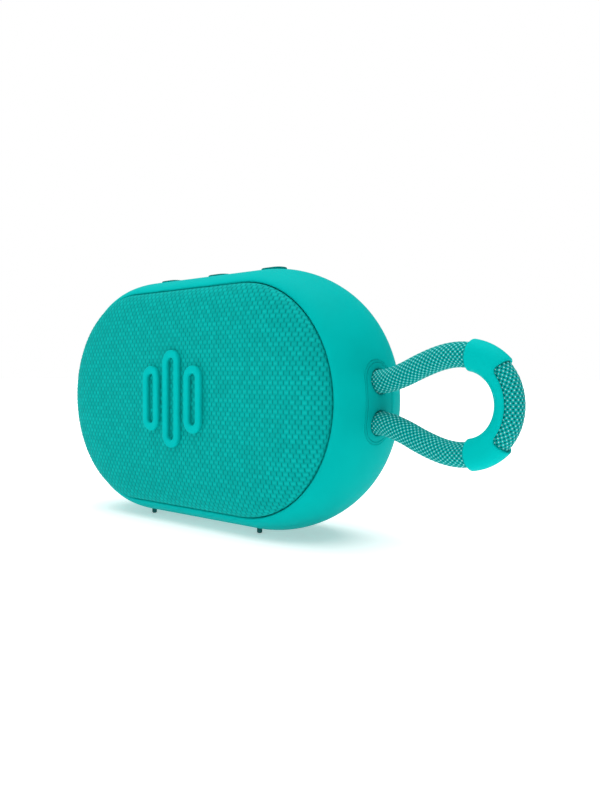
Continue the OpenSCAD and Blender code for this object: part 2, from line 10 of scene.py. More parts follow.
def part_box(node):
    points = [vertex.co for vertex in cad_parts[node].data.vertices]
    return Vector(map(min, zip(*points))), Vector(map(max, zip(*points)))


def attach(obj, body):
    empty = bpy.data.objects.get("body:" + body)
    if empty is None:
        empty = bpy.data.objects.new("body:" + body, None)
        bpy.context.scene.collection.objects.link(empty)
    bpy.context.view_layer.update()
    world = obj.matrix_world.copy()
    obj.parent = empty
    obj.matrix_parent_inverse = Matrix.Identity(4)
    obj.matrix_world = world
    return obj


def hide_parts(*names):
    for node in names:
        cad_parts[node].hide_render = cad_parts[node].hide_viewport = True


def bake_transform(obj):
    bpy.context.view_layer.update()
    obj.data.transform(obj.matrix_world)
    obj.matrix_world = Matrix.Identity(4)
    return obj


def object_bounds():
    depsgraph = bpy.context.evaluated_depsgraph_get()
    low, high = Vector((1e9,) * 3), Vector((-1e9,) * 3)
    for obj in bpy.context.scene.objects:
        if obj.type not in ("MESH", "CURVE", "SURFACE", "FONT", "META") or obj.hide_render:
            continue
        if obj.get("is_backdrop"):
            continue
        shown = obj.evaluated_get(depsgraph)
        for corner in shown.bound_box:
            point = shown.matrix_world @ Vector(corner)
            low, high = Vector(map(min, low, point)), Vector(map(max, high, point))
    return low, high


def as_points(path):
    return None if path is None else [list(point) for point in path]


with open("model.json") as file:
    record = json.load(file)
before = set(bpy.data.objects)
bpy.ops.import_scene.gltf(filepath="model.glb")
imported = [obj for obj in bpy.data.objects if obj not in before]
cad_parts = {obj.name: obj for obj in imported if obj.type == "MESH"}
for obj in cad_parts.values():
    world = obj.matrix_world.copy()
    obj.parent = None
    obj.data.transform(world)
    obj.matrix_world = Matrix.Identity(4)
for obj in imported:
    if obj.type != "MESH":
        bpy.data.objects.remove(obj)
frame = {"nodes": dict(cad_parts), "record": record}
cad_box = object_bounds()

# Looks of the pocket speaker. Shapes are worked out in millimetres from the middle height of the body,
# with the CAD's axes, and become metres when a mesh is made.
MM = 0.001
PI = math.pi


def sides(node):
    """A CAD node's lowest and highest corner, in millimetres from the middle height of the body."""
    low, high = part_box(node)
    shift = Vector((0, 0, MID_Z))
    return (low - shift) / MM, (high - shift) / MM


sleeve_low, sleeve_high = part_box("body_sleeve")
MID_Z = (sleeve_low.z + sleeve_high.z) / 2
BODY_R = (sleeve_high.z - sleeve_low.z) / 2 / MM
END_X = -sleeve_low.x / MM - BODY_R
FRONT_Y = sleeve_low.y / MM
REAR_Y = sleeve_high.y / MM

# ---------- Camera: the photograph's angle ----------

AZIMUTH, ELEVATION, ROLL = map(math.radians, (47.946, 1.44, 0.055))
YAW, PITCH = map(math.radians, (5.923, -0.158))
DISTANCE = 0.223228
LENS_MM, SENSOR_MM = 34.633215, 36


def turned(a, b, angle):
    """The pair of axes a, b turned in their own plane."""
    return a * math.cos(angle) + b * math.sin(angle), b * math.cos(angle) - a * math.sin(angle)


def make_camera():
    back = Vector((
        math.sin(AZIMUTH) * math.cos(ELEVATION),
        -math.cos(AZIMUTH) * math.cos(ELEVATION),
        math.sin(ELEVATION),
    ))
    forward = -back
    right = forward.cross(Vector((0, 0, 1))).normalized()
    up = right.cross(forward)
    forward, right = turned(forward, right, YAW)
    forward, up = turned(forward, up, PITCH)
    right, up = turned(right, up, ROLL)
    data = bpy.data.cameras.new("camera")
    data.sensor_width = SENSOR_MM
    data.lens = LENS_MM
    data.clip_start = 0.01
    data.clip_end = 50
    camera = bpy.data.objects.new("camera", data)
    bpy.context.collection.objects.link(camera)
    axes = Matrix((right, up, -forward)).transposed()
    camera.matrix_world = Matrix.Translation(Vector((0, 0, MID_Z)) + back * DISTANCE) @ axes.to_4x4()
    bpy.context.scene.camera = camera


make_camera()

# ---------- Materials ----------


class Shader:
    """A short way to write the node tree of a material."""

    def __init__(self, name, **inputs):
        self.material = bpy.data.materials.new(name)
        self.material.use_nodes = True
        self.tree = self.material.node_tree
        self.surface = self.tree.nodes["Principled BSDF"]
        for label, value in inputs.items():
            self.surface.inputs[label.replace("_", " ")].default_value = value

    def add(self, kind, inputs=None, **settings):
        node = self.tree.nodes.new("ShaderNode" + kind)
        for label, value in settings.items():
            setattr(node, label, value)
        for label, value in (inputs or {}).items():
            self.put(node.inputs[label], value)
        return node.outputs

    def put(self, socket, value):
        if isinstance(value, bpy.types.NodeSocket):
            self.tree.links.new(value, socket)
        else:
            socket.default_value = value

    def math(self, operation, a, b=0.0, c=0.0):
        return self.add("Math", {0: a, 1: b, 2: c}, operation=operation)[0]

    def ramp(self, value, low, high, to_low=0.0, to_high=1.0):
        """value, taken smoothly from low..high to to_low..to_high."""
        return self.add(
            "MapRange",
            {"Value": value, "From Min": low, "From Max": high, "To Min": to_low, "To Max": to_high},
            interpolation_type="SMOOTHSTEP",
        )["Result"]

    def mix(self, factor, a, b):
        return self.add("Mix", {0: factor, 6: a, 7: b}, data_type="RGBA")[2]

    def place(self, stretch=(1, 1, 1), uv=False):
        """Where the surface is, in millimetres, with each axis stretched."""
        source = self.add("TexCoord")["UV" if uv else "Object"]
        factor = 1 if uv else 1 / MM
        scale = [factor * s for s in stretch]
        return self.add("VectorMath", {0: source, 1: scale}, operation="MULTIPLY")[0]

    def noise(self, size, at, detail=3.0, roughness=0.55):
        return self.add(
            "TexNoise", {"Vector": at, "Scale": 1 / size, "Detail": detail, "Roughness": roughness}
        )["Fac"]

    def colour(self, value):
        self.put(self.surface.inputs["Base Color"], value)

    def rough(self, value):
        self.put(self.surface.inputs["Roughness"], value)

    def bump(self, height, depth_mm):
        bump = self.add("Bump", {"Height": height, "Distance": depth_mm * MM, "Strength": 1.0})
        self.put(self.surface.inputs["Normal"], bump["Normal"])


def shade(colour, factor):
    return [min(1.0, c * factor) for c in colour[:3]] + [1.0]


def moulded(name, colour, rough=0.55, grain=0.22, depth=0.012, spread=0.05, patch=9.0, **inputs):
    """Moulded plastic or rubber: fine spark-eroded grain, slow drifts of tone and of gloss."""
    s = Shader(name, **inputs)
    at = s.place()
    fine = s.noise(grain, at, 2.0)
    slow = s.noise(patch, at, 2.0)
    s.colour(s.mix(slow, shade(colour, 1 - spread), shade(colour, 1 + spread)))
    s.rough(s.ramp(fine, 0.3, 0.7, rough - 0.05, rough + 0.06))
    s.bump(fine, depth)
    return s.material


def metal(name, colour, rough=0.35, stretch=(1, 14, 14), grain=1.2, metallic=1.0):
    """Metal with fine drawn or turned lines and a slight stain."""
    s = Shader(name, Metallic=metallic)
    lines = s.noise(grain, s.place(stretch), 4.0)
    stain = s.noise(3.0, s.place(), 3.0)
    s.colour(s.mix(stain, shade(colour, 0.86), shade(colour, 1.08)))
    s.rough(s.ramp(lines, 0.25, 0.75, rough - 0.1, rough + 0.12))
    s.bump(lines, 0.006)
    return s.material


def foam(name, colour):
    s = Shader(name, Roughness=0.95)
    at = s.place()
    cells = s.add("TexVoronoi", {"Vector": at, "Scale": 2.6})["Distance"]
    s.colour(s.mix(s.ramp(cells, 0.05, 0.5), shade(colour, 1.25), shade(colour, 0.55)))
    s.bump(cells, 0.12)
    return s.material


def circuit_board(name, colour):
    """Solder mask with straight tracks and round plated pads."""
    s = Shader(name)
    at = s.place()
    tracks = s.add(
        "TexBrick",
        {"Vector": at, "Scale": 1.0, "Mortar Size": 0.12, "Brick Width": 3.1, "Row Height": 0.85},
    )["Fac"]
    pads = s.add("TexVoronoi", {"Vector": at, "Scale": 0.42, "Randomness": 0.55})["Distance"]
    pad = s.ramp(pads, 0.2, 0.24, 1.0, 0.0)
    masked = s.mix(tracks, list(colour) + [1], shade(colour, 1.9))
    s.colour(s.mix(pad, masked, [0.75, 0.6, 0.32, 1]))
    s.put(s.surface.inputs["Metallic"], pad)
    s.rough(s.ramp(pads, 0.2, 0.24, 0.25, 0.42))
    s.bump(s.math("MAXIMUM", tracks, pad), 0.03)
    return s.material


def banded(name, colour, pitch, axis="Y", metallic=0.0, rough=0.4, depth=0.05):
    """Windings, threads and pleats: even bands across one axis."""
    s = Shader(name, Metallic=metallic)
    at = s.place()
    bands = s.add(
        "TexWave", {"Vector": at, "Scale": 1 / pitch * 0.314, "Distortion": 0.4, "Detail": 1.0},
        bands_direction=axis,
    )["Fac"]
    slow = s.noise(2.4, at, 3.0)
    tone = s.mix(slow, shade(colour, 0.8), shade(colour, 1.15))
    s.colour(s.mix(s.ramp(bands, 0.0, 0.45, 0.5, 0.0), tone, shade(colour, 0.45)))
    s.rough(s.ramp(slow, 0.3, 0.7, rough - 0.06, rough + 0.08))
    s.bump(bands, depth)
    return s.material


def pressed_fibre(name, colour):
    """Paper cone: flattened fibres that run every way."""
    s = Shader(name, Roughness=0.85)
    fibres = s.noise(0.5, s.place((1, 1, 6)), 5.0, 0.7)
    cross = s.noise(0.5, s.place((6, 1, 1)), 5.0, 0.7)
    both = s.math("MAXIMUM", fibres, cross)
    s.colour(s.mix(both, shade(colour, 0.5), shade(colour, 1.8)))
    s.bump(both, 0.05)
    return s.material


def frosted(name):
    s = Shader(name, Roughness=0.45, Transmission_Weight=0.7, IOR=1.46)
    fine = s.noise(0.2, s.place(), 2.0)
    s.colour(s.mix(fine, [0.75, 0.82, 0.82, 1], [0.92, 0.96, 0.96, 1]))
    s.bump(fine, 0.01)
    return s.material


WARP_PITCH, WEFT_PITCH = 0.875, 1.15


def woven(name, bright, dark):
    """Coarse plain weave: bright weft dashes, each with a painted highlight in its middle, painted shade in
    the slits where the warp dives and along the edges of the rows, fibres along the threads.
    """
    s = Shader(name, Sheen_Weight=0.05, Sheen_Roughness=0.5, Specular_IOR_Level=0.04)
    s.put(s.surface.inputs["Sheen Tint"], shade(bright, 1.6))
    at = s.place((1 / WARP_PITCH, 1 / WEFT_PITCH, 1), uv=True)
    part = s.add("SeparateXYZ", {0: at})
    row = s.math("ROUND", part["Y"])
    column = s.math("FLOOR", s.math("MULTIPLY", s.math("ADD", part["X"], s.math("ADD", row, 1.0)), 0.5))
    across = s.math("ABSOLUTE", s.math("SUBTRACT", part["Y"], row))
    over = s.math("COSINE", s.math("MULTIPLY", s.math("ADD", part["X"], row), PI))
    # Painted shade: the colour darkens in the slits where the warp dives and along the edges of the weft
    # rows.
    slit = s.math("MULTIPLY", s.ramp(over, -1.0, -0.6, 1.0, 0.0), s.ramp(across, 0.3, 0.5, 1.0, 0.55))
    painted_row_shade = s.ramp(across, 0.36, 0.5, 0.0, 0.35)
    one = s.add("CombineXYZ", {"X": column, "Y": row})[0]
    each = s.add("TexWhiteNoise", {"Vector": one}, noise_dimensions="2D")["Value"]
    fibres = s.noise(0.12, s.place((0.25, 1.6, 1), uv=True), 3.0)
    drift = s.noise(6.0, s.place(uv=True), 3.0)
    tone = s.math("ADD", s.math("MULTIPLY", fibres, 0.7), s.math("MULTIPLY", each, 0.3))
    lit = s.mix(tone, shade(bright, 0.75), shade(bright, 1.3))
    lit = s.mix(s.ramp(drift, 0.3, 0.7, 0.0, 0.12), lit, shade(bright, 0.85))
    # Painted highlight: a lighter spot in the middle of each weft dash, stronger on some dashes than on
    # others.
    core = s.math("MULTIPLY", s.ramp(over, -0.5, 0.4), s.ramp(across, 0.04, 0.26, 1.0, 0.0))
    painted_glint = s.math("MULTIPLY", core, s.ramp(each, 0.0, 1.0, 0.08, 0.18))
    lit = s.mix(painted_glint, lit, [0.02] + shade(bright, 1.5)[1:])
    slit = s.math("MULTIPLY", slit, s.ramp(fibres, 0.3, 0.7, 0.7, 1.0))
    # The dark colour is painted shade in the slits and between the rows.
    s.colour(s.mix(s.math("MAXIMUM", slit, painted_row_shade), lit, list(dark) + [1]))
    s.rough(s.ramp(fibres, 0.3, 0.7, 0.72, 0.9))
    s.bump(s.math("SUBTRACT", s.math("MULTIPLY", fibres, 0.5), slit), 0.05)
    return s.material


def braided(name, crossing_highlight, yarn, gap_shade):
    """Tight braid: a painted highlight on each crossing, darker yarn round it and painted shade in the gaps.
    """
    s = Shader(name, Sheen_Weight=0.06, Specular_IOR_Level=0.06)
    s.put(s.surface.inputs["Sheen Tint"], shade(crossing_highlight, 1.2))
    part = s.add("SeparateXYZ", {0: s.place(uv=True)})
    around = s.math("COSINE", s.math("MULTIPLY", part["X"], PI))
    along = s.math("COSINE", s.math("MULTIPLY", part["Y"], PI))
    crossing = s.math("MULTIPLY", around, along)
    fibres = s.noise(0.4, s.place((1.2, 1.2, 1), uv=True), 4.0)
    patches = s.noise(3.0, s.place(uv=True), 2.0)
    body = s.mix(fibres, shade(yarn, 0.75), shade(yarn, 1.25))
    # Painted shade: the gaps between the yarns darken.
    body = s.mix(s.ramp(crossing, -0.95, -0.1, 1.0, 0.0), body, list(gap_shade) + [1])
    # Painted highlight on each crossing of the yarns, brighter or weaker in slow patches.
    light = s.mix(patches, shade(crossing_highlight, 0.55), shade(crossing_highlight, 1.35))
    s.colour(s.mix(s.ramp(crossing, 0.6, 0.98), body, light))
    s.rough(s.ramp(fibres, 0.3, 0.7, 0.7, 0.9))
    s.bump(s.math("ADD", s.math("MULTIPLY", fibres, 0.5), crossing), 0.04)
    return s.material


CASING_TEAL = (0.0, 0.48, 0.455)
FABRIC_TEAL = (0.0, 0.405, 0.375)
SOFT_TOUCH = {"Specular_IOR_Level": 0.01}
look = {
    "casing": moulded("soft_touch_casing", CASING_TEAL, 0.5, **SOFT_TOUCH),
    # The weave's second colour is the painted shade of its slits and row edges.
    "woven_front": woven("coarse_weave", FABRIC_TEAL, (0.0, 0.2, 0.188)),
    "badge": moulded("badge_plastic", (0.0, 0.52, 0.5), 0.5, **SOFT_TOUCH),
    "key_rubber": moulded("key_rubber", (0.0, 0.22, 0.21), 0.55, **SOFT_TOUCH),
    "grip_rubber": moulded("grip_rubber", (0.0, 0.51, 0.485), 0.52, **SOFT_TOUCH),
    "flap_rubber": moulded("flap_rubber", (0.0, 0.4, 0.38), 0.6, **SOFT_TOUCH),
    # The rope's first colour is the painted highlight of the crossings, the last the painted shade of the
    # gaps.
    "rope": braided("braided_rope", (0.45, 1.0, 0.95), (0.0, 0.38, 0.36), (0.0, 0.1, 0.095)),
    # The strap panel is a darker teal than the casing: painted shade where the ropes shade it.
    "strap_trim": moulded("strap_trim", (0.0, 0.41, 0.39), 0.5, **SOFT_TOUCH),
    "foot_rubber": moulded("foot_rubber", (0.0, 0.12, 0.12), 0.7, 0.15),
    "inner_plastic": moulded("inner_plastic", (0.015, 0.04, 0.045), 0.6, 0.3),
    "gasket_foam": foam("gasket_foam", (0.045, 0.045, 0.045)),
    "steel": metal("plated_steel", (0.6, 0.6, 0.61)),
    "basket_metal": metal("pressed_basket", (0.5, 0.5, 0.52), 0.45, (4, 4, 4)),
    "ferrite": metal("sintered_ferrite", (0.06, 0.06, 0.065), 0.6, (2, 2, 2), 0.4, 0.2),
    "copper_coil": banded("copper_winding", (0.72, 0.3, 0.14), 0.3, metallic=1.0, rough=0.3),
    "cone_paper": pressed_fibre("cone_paper", (0.03, 0.03, 0.03)),
    "driver_rubber": moulded("driver_rubber", (0.012, 0.014, 0.015), 0.5, 0.3),
    "spider_cloth": banded("spider_cloth", (0.5, 0.24, 0.06), 0.45, "X", rough=0.8),
    "radiator_plate": metal("radiator_plate", (0.14, 0.15, 0.16), 0.4, (3, 3, 20)),
    "cell_wrap": moulded("cell_wrap", (0.02, 0.12, 0.42), 0.28, 1.6, 0.03, 0.15),
    "board_green": circuit_board("board_green", (0.01, 0.13, 0.05)),
    "chip_black": moulded("chip_black", (0.02, 0.02, 0.022), 0.55, 0.18),
    "clear_pipe": frosted("frosted_pipe"),
    "wire_sleeve": moulded("wire_sleeve", (0.4, 0.02, 0.02), 0.35, 0.5),
}
for row in frame["record"]["subparts"]:
    node = frame["nodes"][row["node"]]
    node.data.materials.clear()
    node.data.materials.append(look[row["material_slot"]])

# ---------- Mesh building ----------


SLOPE_STEP = 0.02
LEVEL_PASSES, SMOOTH_PASSES = 4, 12
LIP_STEPS = 5


def cut_level(field, uv, level):
    """Moves points of the surface's own plane onto the line where field is level."""
    for _ in range(LEVEL_PASSES):
        value = field(uv)
        slopes = [(field(uv + d) - field(uv - d)) / (2 * SLOPE_STEP) for d in np.eye(2) * SLOPE_STEP]
        steep = np.maximum(slopes[0] ** 2 + slopes[1] ** 2, 1e-6)
        uv = uv + np.clip((level - value) / steep, -1, 1)[:, None] * np.stack(slopes, -1)
    return uv


def loops_of(kept, dead):
    """The closed runs of edges that kept faces share with dead ones, in the kept faces' direction."""
    def edges(quads):
        return np.stack([quads, np.roll(quads, -1, 1)], -1).reshape(-1, 2)

    gone = set(map(tuple, edges(dead)[:, ::-1]))
    after = {a: b for a, b in map(tuple, edges(kept)) if (a, b) in gone}
    while after:
        run = [next(iter(after))]
        while run[-1] in after:
            run.append(after.pop(run[-1]))
        yield np.array(run[:-1])


def normals_of(place, uv):
    du, dv = (place(uv + d) - place(uv - d) for d in np.eye(2) * SLOPE_STEP)
    n = np.cross(du, dv)
    return n / np.maximum(np.linalg.norm(n, axis=1), 1e-12)[:, None]


def lip_rings(lip, wall):
    """(distance from the edge, depth) of the rings of a rounded edge and of the wall under it."""
    if not lip:
        return [(0, wall)]
    turn = [PI / 2 * k / LIP_STEPS for k in range(1, LIP_STEPS + 1)]
    return [(lip * (1 - math.sin(t)), lip * (1 - math.cos(t))) for t in turn] + [(0, wall)]


def skin(name, place, u, v, slot, body, nodes=(), wrap=0, cuts=(), relief=None, depths=None, outward=1):
    """A mesh over the grid u x v of a surface. place(uv) gives its points; wrap is the length after which
    u comes round again. Each cut is (field, lip, wall, cap): the surface is kept where field(uv) is above
    0, and its edge is rounded by lip and goes wall deep, with a floor if cap is set. relief(uv) stands
    out of it."""
    rows, columns = len(u), len(v)
    uv = np.stack(np.meshgrid(u, v, indexing="ij"), -1).reshape(-1, 2)
    depth = np.zeros(len(uv)) if depths is None else np.tile(depths, rows)
    index = np.arange(rows * columns).reshape(rows, columns)
    ahead = np.roll(index, -1, 0)
    if not wrap:
        index, ahead = index[:-1], ahead[:-1]
    quads = np.stack([index[:, :-1], ahead[:, :-1], ahead[:, 1:], index[:, 1:]], -1).reshape(-1, 4)
    faces = []
    for field, lip, wall, cap in cuts:
        dead = (field(uv) < lip)[quads].any(1)
        for loop in loops_of(quads[~dead], quads[dead]):
            edge = cut_level(field, uv[loop], lip)
            for _ in range(SMOOTH_PASSES):
                edge = 0.5 * edge + 0.25 * (np.roll(edge, 1, 0) + np.roll(edge, -1, 0))
                edge = cut_level(field, edge, lip)
            uv[loop] = edge
            last = loop
            for distance, deep in lip_rings(lip, wall):
                edge = cut_level(field, edge, distance)
                ring = np.arange(len(uv), len(uv) + len(edge))
                uv = np.concatenate([uv, edge])
                depth = np.concatenate([depth, np.full(len(edge), deep)])
                faces += np.stack([np.roll(last, -1), last, ring, np.roll(ring, -1)], -1).tolist()
                last = ring
            if cap:
                faces.append(last[::-1].tolist())
        quads = quads[~dead]
    height = -depth if relief is None else relief(uv) - depth
    points = place(uv) + height[:, None] * outward * normals_of(place, uv)
    return mesh_piece(name, points, quads.tolist() + faces, slot, body, nodes, uv, wrap, outward < 0)


def mesh_piece(name, points, faces, slot, body, nodes=(), uv=None, wrap=0, flip=False):
    """Makes the piece: its mesh in metres, its map in millimetres, its material, body and CAD nodes."""
    if flip:
        faces = [face[::-1] for face in faces]
    used, faces_flat = np.unique(np.concatenate([np.array(f) for f in faces]), return_inverse=True)
    cuts = np.cumsum([len(f) for f in faces])[:-1]
    faces = [f.tolist() for f in np.split(faces_flat.ravel(), cuts)]
    points = points[used]
    mesh = bpy.data.meshes.new(name)
    mesh.from_pydata((points * MM + [0, 0, MID_Z]).tolist(), [], faces)
    mesh.update()
    mesh.shade_smooth()
    if uv is not None:
        at = uv[used][faces_flat.ravel()]
        if wrap:
            starts = np.concatenate([[0], cuts])
            counts = np.diff(np.concatenate([starts, [len(at)]]))
            highest = np.repeat(np.maximum.reduceat(at[:, 0], starts), counts)
            at[:, 0] += wrap * (highest - at[:, 0] > wrap / 2)
        layer = mesh.uv_layers.new(name="surface_mm")
        layer.data.foreach_set("uv", at.astype(np.float32).ravel())
    mesh.materials.append(look[slot])
    piece = bpy.data.objects.new(name, mesh)
    bpy.context.collection.objects.link(piece)
    if nodes:
        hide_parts(*nodes)
    if body:
        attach(piece, body)
    return piece


def sweep(name, rings, slot, body, nodes=(), cap=False):
    """A closed band from rings of points: rings[i][k] is point k of the cross-section at place i, and both
    come round again. With cap, the rings don't come round, and the first and the last are filled."""
    count, around = len(rings), len(rings[0])
    index = np.arange(count * around).reshape(count, around)
    start = index[:-1] if cap else index
    ahead = index[1:] if cap else np.roll(index, -1, 0)
    beside, beside_ahead = np.roll(start, -1, 1), np.roll(ahead, -1, 1)
    faces = np.stack([start, ahead, beside_ahead, beside], -1).reshape(-1, 4).tolist()
    if cap:
        faces += [index[0].tolist(), index[-1][::-1].tolist()]
    piece = mesh_piece(name, np.concatenate(rings), faces, slot, body, nodes)
    mesh = bmesh.new()
    mesh.from_mesh(piece.data)
    bmesh.ops.recalc_face_normals(mesh, faces=mesh.faces)
    mesh.to_mesh(piece.data)
    mesh.free()
    return piece


def steps(*stops):
    """Numbers from the first stop on: each further stop is (end, spacing)."""
    values = [stops[0]]
    for end, spacing in stops[1:]:
        count = max(1, round(abs(end - values[-1]) / spacing))
        values += list(np.linspace(values[-1], end, count + 1)[1:])
    return np.array(values)


# ---------- Outlines, as distances: above 0 outside ----------


def pill(a, b, half, r):
    return np.hypot(a - np.clip(a, -half, half), b) - r


def rounded_box(a, b, half_a, half_b, r):
    x, y = np.abs(a) - half_a + r, np.abs(b) - half_b + r
    return np.hypot(np.maximum(x, 0), np.maximum(y, 0)) + np.minimum(np.maximum(x, y), 0) - r


# ---------- Rope: the loop and its clamped ends ----------

ROPE_D = 5.8
ROPE_R = ROPE_D / 2
ROPE_FROM_X = 47.3
ROPE_HOLE_X, ROPE_HOLE_Z = 56.9, 5
ROPE_HALF = [
    [ROPE_FROM_X, ROPE_HOLE_Z], [52, ROPE_HOLE_Z], [57.3, ROPE_HOLE_Z],
    [60.2, 5.5], [64.1, 6.8], [68.3, 8.6], [72.5, 10.1], [76.1, 10.9],
    [79.7, 11], [83.9, 10.2], [87.5, 7.8], [89.9, 4.2],
]
ROPE_ROUTE = ROPE_HALF + [[90.7, 0]] + [[x, -z] for x, z in ROPE_HALF[::-1]]
ROPE_STEP = 0.13
BRAID_AROUND = 32
BRAID_PITCH = PI * ROPE_D / BRAID_AROUND
BRAID_SINK, BRAID_HEIGHT = 0.09, 0.075
ROPE_POINTS_AROUND = 160


def smooth_line(points, spacing):
    """The smooth curve through the points, in even steps."""
    p = np.array(points, float)
    p = np.concatenate([[2 * p[0] - p[1]], p, [2 * p[-1] - p[-2]]])
    t = np.linspace(0, 1, 60, endpoint=False)[:, None]
    runs = [
        0.5 * (2 * b + (c - a) * t + (2 * a - 5 * b + 4 * c - d) * t**2 + (3 * b - a - 3 * c + d) * t**3)
        for a, b, c, d in zip(p, p[1:], p[2:], p[3:])
    ]
    line = np.concatenate(runs + [p[-2:-1]])
    far = np.concatenate([[0], np.cumsum(np.linalg.norm(np.diff(line, axis=0), axis=1))])
    even = np.linspace(0, far[-1], round(far[-1] / spacing) + 1)
    return np.stack([np.interp(even, far, line[:, k]) for k in range(line.shape[1])], -1), even


def braid_relief(around, along):
    """Height of the braid, from -1 in the gaps to 1 on the crossings, from two families of yarns."""
    p, q = (around + along) / 2, (around - along) / 2
    heights = []
    for this, other, start in ((p, q, 0), (q, p, 1)):
        yarn = np.round(this)
        section = np.sqrt(np.clip(1 - ((this - yarn) / 0.5) ** 2, 0, 1))
        heights.append(1.2 * section - 0.8 + 0.55 * np.cos(PI * (other + yarn + start)))
    return np.maximum(*heights)


def make_rope():
    line, far = smooth_line(ROPE_ROUTE, ROPE_STEP)
    ahead = np.gradient(line, axis=0)
    ahead /= np.linalg.norm(ahead, axis=1)[:, None]
    angle = np.linspace(0, 2 * PI, ROPE_POINTS_AROUND, endpoint=False)
    around = np.tile(angle / (2 * PI) * BRAID_AROUND, (len(far), 1))
    along = np.tile((far / BRAID_PITCH)[:, None], (1, len(angle)))
    radius = ROPE_R - BRAID_SINK + BRAID_HEIGHT * braid_relief(around, along)
    out = radius * np.cos(angle)
    points = np.stack([
        line[:, :1] - ahead[:, 1:] * out, radius * np.sin(angle), line[:, 1:] + ahead[:, :1] * out
    ], -1)
    rows = np.arange(points.shape[0] * points.shape[1]).reshape(points.shape[:2])
    start, stop = rows[:-1], rows[1:]
    faces = np.stack([start, stop, np.roll(stop, -1, 1), np.roll(start, -1, 1)], -1).reshape(-1, 4).tolist()
    faces += [rows[0].tolist(), rows[-1][::-1].tolist()]
    uv = np.stack([around, along], -1).reshape(-1, 2)
    rope = mesh_piece(
        "braided_rope", points.reshape(-1, 3), faces, "rope", None, ["strap_cord", "strap_ends"],
        uv, BRAID_AROUND,
    )
    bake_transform(rope)
    path = [(x * MM, 0, z * MM + MID_Z) for x, z in line[::4]]
    path.append((ROPE_FROM_X * MM, 0, MID_Z - ROPE_HOLE_Z * MM))
    return rope, path, far[-1] * MM


rope, rope_path, rope_length = make_rope()

# ---------- Grip: a rubber sleeve with a window on the outside of the loop ----------

RING_X, RING_R = 79.7, 11
GRIP_R, GRIP_BORE_R = 3.6, 3.0
GRIP_SPAN = math.radians(82)
WINDOW_R, WINDOW_SPAN, WINDOW_CORNER = 10.9, math.radians(43), 1.5
WINDOW_TURN = math.acos((WINDOW_R - RING_R) / GRIP_R)


def grip_point(uv):
    turn, span = uv[:, 0] / GRIP_R, uv[:, 1] / RING_R
    reach = RING_R + GRIP_R * np.cos(turn)
    return np.stack([RING_X + reach * np.cos(span), GRIP_R * np.sin(turn), reach * np.sin(span)], -1)


def window_field(uv):
    return rounded_box(uv[:, 1], uv[:, 0], WINDOW_SPAN * RING_R, WINDOW_TURN * GRIP_R, WINDOW_CORNER)


def make_grip():
    lip, wall = 0.28, GRIP_R - GRIP_BORE_R
    end = GRIP_SPAN * RING_R
    inner = steps(-end + lip, (end - lip, 0.22))
    edge = lip_rings(lip, wall)
    spans = np.concatenate([[-end + d for d, _ in edge[::-1]], inner, [end - d for d, _ in edge]])
    depths = np.concatenate([[h for _, h in edge[::-1]], np.zeros(len(inner)), [h for _, h in edge]])
    turns = np.linspace(-PI, PI, 100, endpoint=False) * GRIP_R
    return skin(
        "rubber_grip", grip_point, turns, spans, "grip_rubber", "strap", ["strap_grip"],
        wrap=2 * PI * GRIP_R, cuts=[(window_field, lip, wall, False)], depths=depths,
    )


grip = make_grip()
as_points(rope_path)

# ---------- Casing ----------

FRONT_RIM_R, REAR_RIM_R = BODY_R - 4.6, BODY_R - 7.8
FRONT_POWER, REAR_POWER = 1.8, 2
RIM_ROUND, RIM_WALL = 0.35, 2.3
BEZEL_R, BEZEL_INNER_R, PLATE_R, PILL_HALF = 5.35, 4.65, 4.62, 4.9
BEZEL_GAP = 0.03
STRAIGHT = 2 * END_X
QUARTER = PI * BODY_R / 2
KEY_HALF, KEY_R, KEY_GAP = 1.8, 2.2, 0.35


def quarter_curve(rim_r, depth, power, count=400):
    """(radius, y) of the casing from its widest line to its rim."""
    t = np.linspace(0, PI / 2, count)
    return np.stack([
        BODY_R - (BODY_R - rim_r) * (1 - np.cos(t) ** (2 / power)), depth * np.sin(t) ** (2 / power)
    ], -1)


def rim_turn(curve, rim_r, inward):
    """The curve with a rounded edge at the rim and the wall that goes inward from it."""
    kept = curve[curve[:, 0] > rim_r + RIM_ROUND]
    y = kept[-1, 1]
    t = np.linspace(0, PI / 2, 40)[1:]
    turn = np.stack([rim_r + RIM_ROUND * (1 - np.sin(t)), y + inward * RIM_ROUND * (1 - np.cos(t))], -1)
    deep = np.linspace(y + inward * RIM_ROUND, y + inward * RIM_WALL, 40)
    wall = np.stack([np.full(len(deep), rim_r), deep], -1)
    return np.concatenate([kept, turn, wall[1:]])


def lengths(line):
    """How far along the line each of its points is."""
    return np.concatenate([[0], np.cumsum(np.linalg.norm(np.diff(line, axis=0), axis=1))])


front_curve = rim_turn(quarter_curve(FRONT_RIM_R, FRONT_Y, FRONT_POWER), FRONT_RIM_R, 1)
rear_curve = rim_turn(quarter_curve(REAR_RIM_R, REAR_Y, REAR_POWER), REAR_RIM_R, -1)
front_far, rear_far = lengths(front_curve), lengths(rear_curve)
SECTION = np.concatenate([front_curve[::-1], rear_curve[1:]])
SECTION_AT = np.concatenate([-front_far[::-1], rear_far[1:]])


def section(w):
    """Distance from the core line and y, at length w from the widest line towards the back."""
    return np.interp(w, SECTION_AT, SECTION[:, 0]), np.interp(w, SECTION_AT, SECTION[:, 1])


